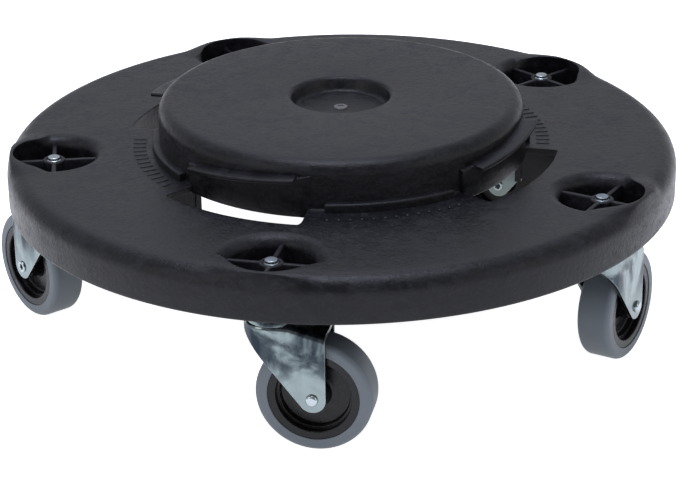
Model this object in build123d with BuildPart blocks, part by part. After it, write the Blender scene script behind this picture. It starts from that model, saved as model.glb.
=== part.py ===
"""Round twist-lock bin dolly: a one-piece moulded deck on five swivel casters.

Millimetres, +Z up. The origin is on the floor under the middle of the deck.
Casters are modelled once, with the swivel axis on Z and the wheel trailing
towards +X, and then copied to their five places.
"""

import os

from build123d import *

# Deck moulding
DECK_R = 231.8
SKIRT_Z = 97.9
SKIRT_H = 31.5
DECK_WALL = 4.5
SHOULDER_R = 12.0
HUB_R = 126.0
HUB_H = 64.7
HUB_EDGE_R = 9.0
RECESS_R = 34.7
RECESS_FLOOR_R = 31.6
RECESS_DEPTH = 9.7
RING_WALL_DROP = 6.0
GATE_RING_R = 4.8
GATE_MARK_H = 0.8

# Twist-lock slots, lugs, curbs and grip marks
SLOT_COUNT = 4
SLOT_START = 59.5
SLOT_HALF = 20.2
SLOT_OUTER_R = 151.0
SLOT_CORNER_R = 8.0
PANEL_R = 129.0
PANEL_HALF = 21.5
LUG_R = 137.5
LUG_HALF = 17.3
LUG_THICK = 2.5
LUG_MID_H = 52.6
LUG_TILT = 4.6
CURB_R = 131.0
CURB_HALF = 19.6
CURB_H = 6.0
MARK_COUNT = 13
MARK_PITCH = 3.0
BEAD_R = 1.5
BEAD_CIRCLE_R = 143.1
BEAD_CENTRES = (284.0, 104.0)
TICK_CENTRES = (196.0, 12.0)
TICK_INNER_R = 135.5
TICK_LENGTH = 9.0
TICK_WIDTH = 1.3
TICK_H = 0.7

# Ribs under the deck
RIB_THICK = 3.0
RIM_RIB_COUNT = 36
RIM_RIB_START = 5.2
RING_RIB_R = 155.5
RIB_RISE = 8.0
HUB_RIB_COUNT = 16
HUB_RIB_RISE = 34.0
HUB_RING_R = 71.0
CORE_RING_R = 14.0

# Caster pockets in the deck
CASTER_COUNT = 5
CASTER_CIRCLE_R = 199.3
CASTER_START = 185.0
POCKET_R = 28.0
POCKET_WALL = 3.5
POCKET_FLOOR = 4.5
PAD_R = 33.5
PAD_RIM_H = 33.2
PAD_HUB_H = 28.2
PAD_EDGE_R = 4.0
SCOOP_R = 42.0
BOSS_R = 8.3
BOSS_H = 27.0
CROSS_RIB_H = 26.5

# Casters: where each one's wheel trails, as the bearing of its trail
CASTERS = {
    "left": (0, 127.8),
    "front": (1, -12.1),
    "right": (2, 59.2),
    "rear_right": (3, 153.8),
    "rear_left": (4, 64.0),
}
TRAIL = 27.5
AXLE_Z = 38.1
STEM_R = 5.45
STEM_BORE_R = 5.5
STEM_TIP_R = 4.25
STEM_TIP_H = 28.8
STEM_HEAD_R = 8.0
STEM_HEAD_H = 3.0
STEM_TIP_STEP = 1.2
STEM_TIP_ROUND = 0.7
RACE_BORE_R = 5.55
UPPER_RACE_R = 17.5
UPPER_RACE_THICK = 2.3
RACE_RIM = 1.6
RACE_RIM_H = 1.9
LOWER_RACE_R = 12.0
LOWER_RACE_THICK = 1.8
BALL_R = 1.6
BALL_GAP = 0.05
UPPER_BALL_CIRCLE_R = 12.3
UPPER_BALL_COUNT = 20
UPPER_BALL_DROP = 4.3
RACE_CLEARANCE = 0.35
LOWER_BALL_CIRCLE_R = 9.4
LOWER_BALL_COUNT = 15

# Fork, pressed from one sheet
SHEET = 2.3
FORK_GAP = 27.0
CROWN_DROP = 9.5
NOSE_REACH = 18.5
LIP_DROP = 16.0
CROWN_FLAT_X = 13.0
BACK_X = 36.3
BACK_DROP = 16.0
LEG_TIP_R = 8.8
CROWN_BEND_R = 5.0
DISH_R = 16.8
DISH_TOP_DROP = 5.4
DISH_DRAFT = 1.6
FORK_BORE_R = 5.9
AXLE_HOLE_R = 3.2

# Wheel and axle
WHEEL_R = 38.1
TREAD_WIDTH = 23.8
TREAD_BORE_R = 30.0
TREAD_EDGE_R = 4.0
CORE_R = 29.95
CORE_WIDTH = 22.8
CORE_BORE_R = 4.83
HUB_BARREL_R = 8.6
HUB_BARREL_LENGTH = 26.4
WEB_THICK = 5.6
WEB_R = 22.6
CORE_LIP_R = 24.8
SLEEVE_R = 4.75
SLEEVE_BORE_R = 3.2
RIVET_R = 3.15
RIVET_HEAD_R = 4.1
RIVET_HEAD_H = 2.4
RIVET_ROLL_H = 1.3
RIVET_TUBE_R = 1.9
RIVET_TUBE_DEPTH = 5.0

DECK_TOP = SKIRT_Z + SKIRT_H
HUB_TOP = SKIRT_Z + HUB_H
RECESS_Z = HUB_TOP - RECESS_DEPTH
SKIN_Z = DECK_TOP - DECK_WALL
FORK_HALF = FORK_GAP / 2 + SHEET
NOSE_X = FORK_HALF - NOSE_REACH
LOWER_BALL_DROP = CROWN_DROP + SHEET + BALL_GAP + BALL_R
LIFT = 1.0
BITE = 0.5


def corner(shape, x, y):
    """The vertex of a flat shape nearest to a point."""
    return shape.vertices().sort_by_distance((x, y, 0))[0]


def ring_sector(height, inner, outer, half_angle):
    """A sector of a ring about Z, centred on +X, drawn at a height."""
    with BuildSketch(Plane.XY.offset(height)) as sector:
        with BuildLine():
            far = CenterArc((0, 0), outer, -half_angle, 2 * half_angle)
            near = CenterArc((0, 0), inner, -half_angle, 2 * half_angle)
            Line(far @ 0, near @ 0)
            Line(far @ 1, near @ 1)
        make_face()
    return sector


def turned_profile(points, roundings):
    """A closed outline in the XZ plane, with some of its corners rounded."""
    with BuildSketch() as flat:
        with BuildLine():
            Polyline(*points, close=True)
        make_face()
        for x, y, radius in roundings:
            fillet(corner(flat, x, y), radius)
    with BuildSketch(Plane.XZ) as outline:
        add(flat.sketch)
    return outline


def deck_shell():
    """Skirt, deck plate, hub and central recess as one turned shell."""
    inner_hub = HUB_R - DECK_WALL
    recess_under = RECESS_Z - DECK_WALL
    hub_under = HUB_TOP - DECK_WALL
    points = [
        (0, RECESS_Z),
        (RECESS_FLOOR_R, RECESS_Z),
        (RECESS_R, HUB_TOP),
        (HUB_R, HUB_TOP),
        (HUB_R, DECK_TOP),
        (DECK_R, DECK_TOP),
        (DECK_R, SKIRT_Z),
        (DECK_R - DECK_WALL, SKIRT_Z),
        (DECK_R - DECK_WALL, SKIN_Z),
        (HUB_R, SKIN_Z),
        (HUB_R, SKIRT_Z + RING_WALL_DROP),
        (inner_hub, SKIRT_Z + RING_WALL_DROP),
        (inner_hub, hub_under),
        (RECESS_R + DECK_WALL, hub_under),
        (RECESS_FLOOR_R + DECK_WALL, recess_under),
        (0, recess_under),
    ]
    roundings = [
        (RECESS_FLOOR_R, RECESS_Z, 2.5),
        (RECESS_R, HUB_TOP, 2.5),
        (HUB_R, HUB_TOP, HUB_EDGE_R),
        (HUB_R, DECK_TOP, 1.5),
        (DECK_R, DECK_TOP, SHOULDER_R),
        (DECK_R, SKIRT_Z, 1.5),
        (DECK_R - DECK_WALL, SKIN_Z, SHOULDER_R - DECK_WALL),
        (inner_hub, hub_under, HUB_EDGE_R - DECK_WALL),
    ]
    outline = turned_profile(points, roundings)
    with BuildPart() as shell:
        add(outline.sketch)
        revolve(axis=Axis.Z)
    return shell


def recess_space():
    """The air inside the central recess, which no rib may enter."""
    points = [
        (0, RECESS_Z),
        (RECESS_FLOOR_R, RECESS_Z),
        (RECESS_R, HUB_TOP),
        (0, HUB_TOP),
    ]
    outline = turned_profile(points, [(RECESS_FLOOR_R, RECESS_Z, 2.5)])
    with BuildPart() as space:
        add(outline.sketch)
        revolve(axis=Axis.Z)
    return space


def twist_lug():
    """One proud wall panel with its sloping lug, centred on +X."""
    ramp = Plane(
        origin=(HUB_R, 0, SKIRT_Z + LUG_MID_H),
        x_dir=(1, 0, 0),
        z_dir=Vector(0, 0, 1).rotate(Axis.X, LUG_TILT),
    )
    panel_face = ring_sector(SKIN_Z, HUB_R - DECK_WALL, PANEL_R, PANEL_HALF)
    lug_face = ring_sector(SKIN_Z, HUB_R - LIFT, LUG_R, LUG_HALF)
    with BuildPart() as lug:
        extrude(to_extrude=lug_face.sketch, amount=HUB_H)
        split(bisect_by=ramp, keep=Keep.BOTTOM)
        split(bisect_by=ramp.offset(-LUG_THICK), keep=Keep.TOP)
    with BuildPart() as panel:
        extrude(to_extrude=panel_face.sketch, amount=HUB_H)
        split(bisect_by=ramp.offset(-LUG_THICK / 2), keep=Keep.BOTTOM)
        add(lug.part)
    return panel


def caster_pad():
    """The raised, tilted pad round one caster pocket, on +X."""
    span = 2 * POCKET_R
    slope = Vector(PAD_HUB_H - PAD_RIM_H, 0, span)
    tilt = Plane(
        origin=(CASTER_CIRCLE_R + POCKET_R, 0, SKIRT_Z + PAD_RIM_H),
        x_dir=(0, 1, 0),
        z_dir=slope.normalized(),
    )
    with BuildPart() as pad:
        with BuildSketch(Plane.XY.offset(SKIRT_Z)):
            with Locations((CASTER_CIRCLE_R, 0)):
                Circle(PAD_R)
        extrude(amount=2 * SKIRT_H)
        split(bisect_by=tilt, keep=Keep.BOTTOM)
        fillet(pad.faces().sort_by(Axis.Z)[-1].edges(), PAD_EDGE_R)
        with BuildSketch(Plane.XY.offset(SKIRT_Z)):
            with Locations((CASTER_CIRCLE_R, 0)):
                Circle(POCKET_R - LIFT)
        extrude(amount=SKIRT_H, mode=Mode.SUBTRACT)
        with BuildSketch(Plane.XY.offset(SKIRT_Z)):
            Circle(DECK_R)
        extrude(amount=2 * SKIRT_H, mode=Mode.INTERSECT)
    return pad, tilt


def pocket_space(tilt):
    """The scoop above one pocket and the pocket's own hollow, on +X."""
    middle = Vector(CASTER_CIRCLE_R, 0, SKIRT_Z + (PAD_RIM_H + PAD_HUB_H) / 2)
    level = Plane(origin=middle, x_dir=(0, 1, 0), z_dir=tilt.z_dir)
    rise = SKIRT_H - PAD_HUB_H + LIFT
    with BuildPart() as space:
        with BuildSketch(level):
            Circle(POCKET_R)
        with BuildSketch(level.offset(rise)):
            Circle(SCOOP_R)
        loft()
        with BuildSketch(Plane.XY.offset(SKIRT_Z + POCKET_FLOOR)):
            with Locations((CASTER_CIRCLE_R, 0)):
                Circle(POCKET_R)
        extrude(amount=SKIRT_H - POCKET_FLOOR)
    return space


def caster_boss():
    """Boss and cross ribs that hold one caster stem, on +X."""
    reach = 2 * (POCKET_R + POCKET_WALL / 2)
    with BuildPart() as boss:
        with BuildSketch(Plane.XY.offset(SKIRT_Z)):
            with Locations((CASTER_CIRCLE_R, 0)):
                Circle(BOSS_R)
        extrude(amount=BOSS_H)
        with BuildSketch(Plane.XY.offset(SKIRT_Z)):
            with Locations((CASTER_CIRCLE_R, 0)):
                Rectangle(reach, RIB_THICK)
                Rectangle(RIB_THICK, reach)
        extrude(amount=CROSS_RIB_H)
    return boss


def slot_space():
    """The air of one slot: through the plate, and under the hub's wall, on +X."""
    with BuildPart() as space:
        with BuildSketch(Plane.XY.offset(SKIRT_Z)):
            add(ring_sector(0, PANEL_R, SLOT_OUTER_R, SLOT_HALF).sketch)
        extrude(amount=SKIRT_H + LIFT)
        fillet(space.edges().filter_by(Axis.Z).sort_by_distance((0, 0))[-2:], SLOT_CORNER_R)
        with BuildSketch(Plane.XY.offset(SKIRT_Z)):
            add(ring_sector(0, HUB_R - DECK_WALL - LIFT, PANEL_R, SLOT_HALF).sketch)
        extrude(amount=SKIRT_H - DECK_WALL)
    return space


def grip_marks():
    """Rows of small beads and ticks on the plate, between the slots."""
    half_row = (MARK_COUNT - 1) * MARK_PITCH / 2
    row = MARK_COUNT * MARK_PITCH
    with BuildPart() as marks:
        for centre in BEAD_CENTRES:
            with Locations((0, 0, DECK_TOP)):
                with PolarLocations(
                    BEAD_CIRCLE_R, MARK_COUNT, centre - half_row, row
                ):
                    Sphere(BEAD_R)
        with BuildSketch(Plane.XY.offset(DECK_TOP - LIFT)):
            for centre in TICK_CENTRES:
                with PolarLocations(
                    TICK_INNER_R, MARK_COUNT, centre - half_row, row
                ):
                    Rectangle(
                        TICK_LENGTH, TICK_WIDTH, align=(Align.MIN, Align.CENTER)
                    )
        extrude(amount=LIFT + TICK_H)
    return marks


def build_deck():
    """The whole deck moulding."""
    shell = deck_shell()
    recess = recess_space()
    panel = twist_lug()
    slot = slot_space()
    pad, tilt = caster_pad()
    pocket = pocket_space(tilt)
    boss = caster_boss()
    marks = grip_marks()
    rib_top = SKIN_Z + BITE
    rib_foot = SKIRT_Z + RIB_RISE
    hub_rib_foot = SKIRT_Z + HUB_RIB_RISE
    ring_inner = RING_RIB_R - RIB_THICK
    rim_rib = DECK_R - DECK_WALL + BITE - ring_inner - LIFT
    hub_rib = HUB_R - DECK_WALL - CORE_RING_R + 2 * LIFT
    from_inside = (Align.MIN, Align.CENTER)
    with BuildPart() as deck:
        add(shell.part)

        # Ribs under the rim, the ring that ties them, and ribs at the slots' ends
        with BuildSketch(Plane.XY.offset(rib_foot)):
            with PolarLocations(ring_inner + LIFT, RIM_RIB_COUNT, RIM_RIB_START):
                Rectangle(rim_rib, RIB_THICK, align=from_inside)
            Circle(RING_RIB_R)
            Circle(ring_inner, mode=Mode.SUBTRACT)
            for side in (-1, 1):
                bearing = SLOT_START + side * (SLOT_HALF + LIFT)
                with PolarLocations(HUB_R - LIFT, SLOT_COUNT, bearing):
                    Rectangle(ring_inner - HUB_R + 2 * LIFT, RIB_THICK, align=from_inside)
        extrude(amount=rib_top - rib_foot)

        # Ribs inside the hub
        with BuildSketch(Plane.XY.offset(hub_rib_foot)):
            Circle(HUB_RING_R)
            Circle(HUB_RING_R - RIB_THICK, mode=Mode.SUBTRACT)
            Circle(CORE_RING_R)
            Circle(CORE_RING_R - RIB_THICK, mode=Mode.SUBTRACT)
            with PolarLocations(CORE_RING_R - LIFT, HUB_RIB_COUNT, 0):
                Rectangle(hub_rib, RIB_THICK, align=from_inside)
        extrude(amount=HUB_TOP - DECK_WALL + LIFT - hub_rib_foot)
        add(recess.part, mode=Mode.SUBTRACT)

        # Curbs between the slots
        with BuildSketch(Plane.XY.offset(DECK_TOP - LIFT)):
            with PolarLocations(0, SLOT_COUNT, SLOT_START + 180 / SLOT_COUNT):
                add(ring_sector(0, HUB_R - LIFT, CURB_R, CURB_HALF).sketch)
        extrude(amount=LIFT + CURB_H)

        # Slots, then the lugs over them
        with PolarLocations(0, SLOT_COUNT, SLOT_START):
            add(slot.part, mode=Mode.SUBTRACT)
            add(panel.part)
        add(marks.part)

        # Caster pockets
        with BuildSketch(Plane.XY.offset(SKIRT_Z)):
            with PolarLocations(CASTER_CIRCLE_R, CASTER_COUNT, CASTER_START):
                Circle(POCKET_R + POCKET_WALL)
        extrude(amount=SKIRT_H - LIFT)
        with PolarLocations(0, CASTER_COUNT, CASTER_START):
            add(pad.part)
            add(pocket.part, mode=Mode.SUBTRACT)
            add(boss.part)
        with BuildSketch(Plane.XY.offset(SKIRT_Z - LIFT)):
            with PolarLocations(CASTER_CIRCLE_R, CASTER_COUNT, CASTER_START):
                Circle(STEM_BORE_R)
        extrude(amount=SKIRT_H + LIFT, mode=Mode.SUBTRACT)

        # Moulding gate mark in the recess
        with BuildSketch(Plane.XY.offset(RECESS_Z)):
            Circle(GATE_RING_R)
        extrude(amount=GATE_MARK_H)
    return deck


def caster_ring(radius, drop, count, ball_r):
    """A ring of loose balls round the swivel axis."""
    with BuildPart() as balls:
        with Locations((0, 0, SKIRT_Z - drop)):
            with PolarLocations(radius, count):
                Sphere(ball_r)
    return balls


def ball_groove(radius, drop):
    """The ring of space that a ring of balls runs in."""
    with BuildPart() as groove:
        with BuildSketch(Plane.XZ):
            with Locations((radius, SKIRT_Z - drop)):
                Circle(BALL_R + BALL_GAP)
        revolve(axis=Axis.Z)
    return groove


def build_stem():
    """Headed stem that the fork swivels on, pressed up into the deck's boss."""
    head_top = SKIRT_Z - LOWER_BALL_DROP - BALL_R - RACE_CLEARANCE - LOWER_RACE_THICK
    shoulder = SKIRT_Z + BOSS_H - STEM_TIP_STEP
    tip = SKIRT_Z + STEM_TIP_H
    points = [
        (0, head_top - STEM_HEAD_H),
        (STEM_HEAD_R, head_top - STEM_HEAD_H),
        (STEM_HEAD_R, head_top),
        (STEM_R, head_top),
        (STEM_R, shoulder),
        (STEM_TIP_R, shoulder + STEM_TIP_STEP),
        (STEM_TIP_R, tip),
        (0, tip),
    ]
    roundings = [
        (STEM_HEAD_R, head_top - STEM_HEAD_H, STEM_HEAD_H * 0.8),
        (STEM_TIP_R, tip, STEM_TIP_ROUND),
    ]
    outline = turned_profile(points, roundings)
    with BuildPart() as stem:
        add(outline.sketch)
        revolve(axis=Axis.Z)
    return stem


def build_upper_race():
    """Pressed dish under the deck that the upper balls run against."""
    under = SKIRT_Z - UPPER_RACE_THICK
    points = [
        (RACE_BORE_R, SKIRT_Z),
        (UPPER_RACE_R, SKIRT_Z),
        (UPPER_RACE_R, under - RACE_RIM_H),
        (UPPER_RACE_R - RACE_RIM, under - RACE_RIM_H),
        (UPPER_RACE_R - RACE_RIM, under),
        (RACE_BORE_R, under),
    ]
    outline = turned_profile(points, [(UPPER_RACE_R, SKIRT_Z, RACE_RIM * 0.8)])
    with BuildPart() as race:
        add(outline.sketch)
        revolve(axis=Axis.Z)
    return race


def build_lower_race():
    """Washer on the stem's head that the lower balls run on."""
    top = SKIRT_Z - LOWER_BALL_DROP - BALL_R - RACE_CLEARANCE
    points = [
        (RACE_BORE_R, top),
        (LOWER_RACE_R, top),
        (LOWER_RACE_R, top - LOWER_RACE_THICK),
        (RACE_BORE_R, top - LOWER_RACE_THICK),
    ]
    outline = turned_profile(points, [(LOWER_RACE_R, top, LOWER_RACE_THICK / 2)])
    with BuildPart() as race:
        add(outline.sketch)
        revolve(axis=Axis.Z)
    return race


def fork_side(top_drop, back_reach):
    """The fork's outline from the side: a flat crown, a sloping back, a leg."""
    axle = (TRAIL, AXLE_Z)
    with BuildSketch(Plane.XZ) as side:
        with Locations(axle):
            Circle(LEG_TIP_R)
        with BuildLine():
            Polyline(
                (-NOSE_REACH, SKIRT_Z - LIP_DROP),
                (-NOSE_REACH, SKIRT_Z - top_drop),
                (CROWN_FLAT_X, SKIRT_Z - top_drop),
                (back_reach, SKIRT_Z - BACK_DROP),
                (back_reach, AXLE_Z),
                close=True,
            )
        make_face()
        make_hull()
    return side


def fork_plan(half_width, back_reach):
    """The fork's outline from above: parallel sides and a round nose."""
    with BuildSketch(Plane.XY) as plan:
        with Locations((NOSE_X, 0)):
            Circle(half_width)
        with Locations((NOSE_X, 0)):
            Rectangle(
                back_reach - NOSE_X, 2 * half_width, align=(Align.MIN, Align.CENTER)
            )
    return plan


def fork_block():
    """The fork's outer shape, before it is hollowed, with its bends rounded."""
    side = fork_side(CROWN_DROP, BACK_X)
    plan = fork_plan(FORK_HALF, BACK_X)
    with BuildPart() as block:
        extrude(to_extrude=side.sketch, amount=FORK_HALF, both=True)
        extrude(to_extrude=plan.sketch, amount=SKIRT_Z, mode=Mode.INTERSECT)
        bends = block.edges().filter_by(
            lambda e: e.center().Z > SKIRT_Z - BACK_DROP and e.center().X < BACK_X - 1
        )
        bends = bends.filter_by(lambda e: abs(e.center().Y) > 1 or e.center().X < 0)
        fillet(bends, CROWN_BEND_R)
    return block


def fork_hollow():
    """The space inside the fork, open at the back and below."""
    run = BACK_X - CROWN_FLAT_X
    slope = (BACK_DROP - CROWN_DROP) / run
    inner = CROWN_DROP + SHEET
    reach = 2 * run
    plan = fork_plan(FORK_GAP / 2, BACK_X + run)
    with BuildSketch(Plane.XZ) as side:
        with BuildLine():
            Polyline(
                (-NOSE_REACH, 0),
                (-NOSE_REACH, SKIRT_Z - inner),
                (CROWN_FLAT_X, SKIRT_Z - inner),
                (CROWN_FLAT_X + reach, SKIRT_Z - inner - slope * reach),
                (CROWN_FLAT_X + reach, 0),
                close=True,
            )
        make_face()
    with BuildPart() as hollow:
        extrude(to_extrude=side.sketch, amount=FORK_GAP, both=True)
        extrude(to_extrude=plan.sketch, amount=SKIRT_Z, mode=Mode.INTERSECT)
        roof = hollow.edges().filter_by(lambda e: min((e @ 0).Z, (e @ 1).Z) > AXLE_Z)
        bends = roof.filter_by(lambda e: abs(e.center().Y) > 1 or e.center().X < 0)
        fillet(bends, CROWN_BEND_R - SHEET)
    return hollow


def build_fork():
    """Pressed steel fork: dished crown with a ball groove, and two legs."""
    block = fork_block()
    hollow = fork_hollow()
    upper_groove = ball_groove(UPPER_BALL_CIRCLE_R, UPPER_BALL_DROP)
    crown_top = SKIRT_Z - CROWN_DROP
    dish_top = SKIRT_Z - DISH_TOP_DROP
    dish = turned_profile(
        [
            (FORK_BORE_R, crown_top - SHEET / 2),
            (DISH_R, crown_top - SHEET / 2),
            (DISH_R, crown_top),
            (DISH_R - DISH_DRAFT, dish_top),
            (FORK_BORE_R, dish_top),
        ],
        [(DISH_R - DISH_DRAFT, dish_top, 1.0)],
    )
    with BuildPart() as fork:
        add(block.part)
        add(hollow.part, mode=Mode.SUBTRACT)
        add(dish.sketch)
        revolve(axis=Axis.Z)
        add(upper_groove.part, mode=Mode.SUBTRACT)
        with BuildSketch(Plane.XY.offset(AXLE_Z)):
            Circle(FORK_BORE_R)
        extrude(amount=SKIRT_Z - AXLE_Z, mode=Mode.SUBTRACT)
        with BuildSketch(Plane.XZ):
            with Locations((TRAIL, AXLE_Z)):
                Circle(AXLE_HOLE_R)
        extrude(amount=2 * FORK_HALF, both=True, mode=Mode.SUBTRACT)
    return fork


def axle_turned(points, roundings):
    """A solid turned about the wheel's axle from (radius, along the axle) points."""
    with BuildSketch() as flat:
        with BuildLine():
            Polyline(*points, close=True)
        make_face()
        for x, y, radius in roundings:
            fillet(corner(flat, x, y), radius)
    across = Plane(origin=(TRAIL, 0, AXLE_Z), x_dir=(1, 0, 0), z_dir=(0, 0, 1))
    with BuildPart() as solid:
        with BuildSketch(across):
            add(flat.sketch)
        revolve(axis=Axis((TRAIL, 0, AXLE_Z), (0, 1, 0)))
    return solid


def build_rivet():
    """Hollow axle rivet: a domed head on one leg, a rolled end on the other."""
    roll_end = FORK_HALF + RIVET_ROLL_H
    head_end = -FORK_HALF - RIVET_HEAD_H
    points = [
        (0, head_end),
        (RIVET_HEAD_R, head_end),
        (RIVET_HEAD_R, -FORK_HALF),
        (RIVET_R, -FORK_HALF),
        (RIVET_R, FORK_HALF),
        (RIVET_HEAD_R, FORK_HALF),
        (RIVET_HEAD_R, roll_end),
        (RIVET_TUBE_R, roll_end),
        (RIVET_TUBE_R, roll_end - RIVET_TUBE_DEPTH),
        (0, roll_end - RIVET_TUBE_DEPTH),
    ]
    roundings = [
        (RIVET_HEAD_R, head_end, RIVET_HEAD_H * 0.85),
        (RIVET_HEAD_R, roll_end, RIVET_ROLL_H * 0.7),
        (RIVET_TUBE_R, roll_end, RIVET_ROLL_H * 0.7),
    ]
    return axle_turned(points, roundings)


def build_sleeve():
    """Steel tube between the fork's legs that the wheel turns on."""
    half = FORK_GAP / 2
    points = [
        (SLEEVE_BORE_R, -half),
        (SLEEVE_R, -half),
        (SLEEVE_R, half),
        (SLEEVE_BORE_R, half),
    ]
    return axle_turned(points, [])


def mirrored(points):
    """A half outline and its mirror image across the wheel's middle."""
    return points + [(r, -y) for r, y in reversed(points)]


def build_core():
    """Moulded wheel centre with a barrel, a web and a stepped rim."""
    half = CORE_WIDTH / 2
    web = WEB_THICK / 2
    barrel = HUB_BARREL_LENGTH / 2
    step = (half + web) / 2
    edge = [
        (CORE_BORE_R, barrel),
        (HUB_BARREL_R, barrel),
        (HUB_BARREL_R + 1.2, web),
        (WEB_R, web),
        (WEB_R + 0.4, step),
        (CORE_LIP_R - 0.4, step),
        (CORE_LIP_R, half),
        (CORE_R, half),
    ]
    roundings = []
    for side in (-1, 1):
        roundings.append((HUB_BARREL_R, side * barrel, 0.8))
        roundings.append((HUB_BARREL_R + 1.2, side * web, 2.0))
        roundings.append((WEB_R, side * web, 1.5))
        roundings.append((CORE_LIP_R, side * half, 0.7))
    return axle_turned(mirrored(edge), roundings)


def build_tread():
    """Soft grey tyre moulded round the core, with rounded shoulders."""
    half = TREAD_WIDTH / 2
    edge = [(TREAD_BORE_R, half), (WHEEL_R, half)]
    roundings = [(WHEEL_R, side * half, TREAD_EDGE_R) for side in (-1, 1)]
    return axle_turned(mirrored(edge), roundings)


def save(piece, name):
    """Labels a finished piece and writes it as its own STEP."""
    piece.part.label = name
    export_step(piece.part, f"parts/{name}.step")


os.makedirs("parts", exist_ok=True)
save(build_deck(), "deck")

masters = {
    "stem": build_stem(),
    "upper_race": build_upper_race(),
    "upper_balls": caster_ring(
        UPPER_BALL_CIRCLE_R, UPPER_BALL_DROP, UPPER_BALL_COUNT, BALL_R
    ),
    "fork": build_fork(),
    "lower_balls": caster_ring(
        LOWER_BALL_CIRCLE_R, LOWER_BALL_DROP, LOWER_BALL_COUNT, BALL_R
    ),
    "lower_race": build_lower_race(),
    "axle_rivet": build_rivet(),
    "axle_sleeve": build_sleeve(),
    "wheel_core": build_core(),
    "tread": build_tread(),
}

for place, (index, bearing) in CASTERS.items():
    turn = CASTER_START + index * 360 / CASTER_COUNT
    spot = Vector(CASTER_CIRCLE_R, 0, 0).rotate(Axis.Z, turn)
    trail = Vector(1, 0, 0).rotate(Axis.Z, bearing)
    plane = Plane(origin=spot, x_dir=trail, z_dir=(0, 0, 1))
    for name, master in masters.items():
        with BuildPart(plane) as copy:
            add(master.part)
        save(copy, f"{name}_{place}")
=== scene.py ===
"""Visible pieces, finishes and studio of a round twist-lock bin dolly.

Metres, +Z up, with the floor at zero and the deck's middle over the origin.
"""

import math

import bmesh
import bpy
from bpy.props import FloatProperty, FloatVectorProperty, IntProperty, PointerProperty
from bpy.types import Operator, Panel, PropertyGroup
from mathutils import Matrix, Vector


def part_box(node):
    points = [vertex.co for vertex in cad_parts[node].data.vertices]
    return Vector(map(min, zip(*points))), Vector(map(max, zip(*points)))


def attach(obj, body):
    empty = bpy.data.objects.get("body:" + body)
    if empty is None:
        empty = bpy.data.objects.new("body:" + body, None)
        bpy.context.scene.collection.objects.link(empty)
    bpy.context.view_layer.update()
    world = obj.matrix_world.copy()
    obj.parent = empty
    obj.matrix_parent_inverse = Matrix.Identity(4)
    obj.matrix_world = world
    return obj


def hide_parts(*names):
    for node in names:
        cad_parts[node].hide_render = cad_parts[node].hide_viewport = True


bl_info = {
    "name": "Bin Dolly",
    "version": (1, 0, 0),
    "blender": (4, 5, 0),
    "location": "View3D > Sidebar > Dolly",
    "description": "Builds the visible pieces and finishes of a round bin dolly",
    "category": "Add Mesh",
}

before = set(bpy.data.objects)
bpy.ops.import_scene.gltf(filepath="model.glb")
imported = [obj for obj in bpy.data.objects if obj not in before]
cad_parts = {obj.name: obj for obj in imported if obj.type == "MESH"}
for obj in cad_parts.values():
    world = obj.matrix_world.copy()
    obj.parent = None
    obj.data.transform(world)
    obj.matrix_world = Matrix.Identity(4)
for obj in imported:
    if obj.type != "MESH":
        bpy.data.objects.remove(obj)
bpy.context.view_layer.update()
DECK_LOW, DECK_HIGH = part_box("deck")

# Where things repeat round the deck, and the height of the raised rim
PLACES = ("left", "front", "right", "rear_right", "rear_left")
SLOT_COUNT = 4
SLOT_START = math.radians(59.5)
CURB_START = math.radians(104.5)
POCKET_START = math.radians(185.0)
RIM_PAD = 0.0332

# Half the length of what lies in each slot, and how far the lugs slope
SLOT_HALF = math.radians(20.2)
PANEL_HALF = math.radians(21.5)
PANEL_FADE = math.radians(18.6)
LUG_HALF = math.radians(17.3)
LUG_SLOPE = math.tan(math.radians(4.6))

# Rows of grip marks: their middles and their pitch, in degrees
MARK_ROWS = {"grip_beads": (284.0, 104.0), "grip_ticks": (196.0, 12.0)}
MARK_COUNT = 13
MARK_PITCH = 3.0

# Ribs: their thickness, and how far they run into what they join
RIB = 0.003
BITE = 0.0008

# Heights between which the forks' plating goes from clean to full painted dark reflection
# of the deck's underside
PAINTED_REFLECTION_FROM, PAINTED_REFLECTION_FULL = 0.034, 0.066

# Light of the high lamps and of the sky, and the floor's own glow
COOL = (0.90, 0.94, 1.14)
NEUTRAL = (1.0, 1.0, 1.0)
SKY = (0.97, 0.985, 1.06, 1)
SKY_SHARE_IN_FRONT = 0.40
FLOOR_GLOW = 0.60
FLOOR_GLOW_SEEN = 0.30


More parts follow.
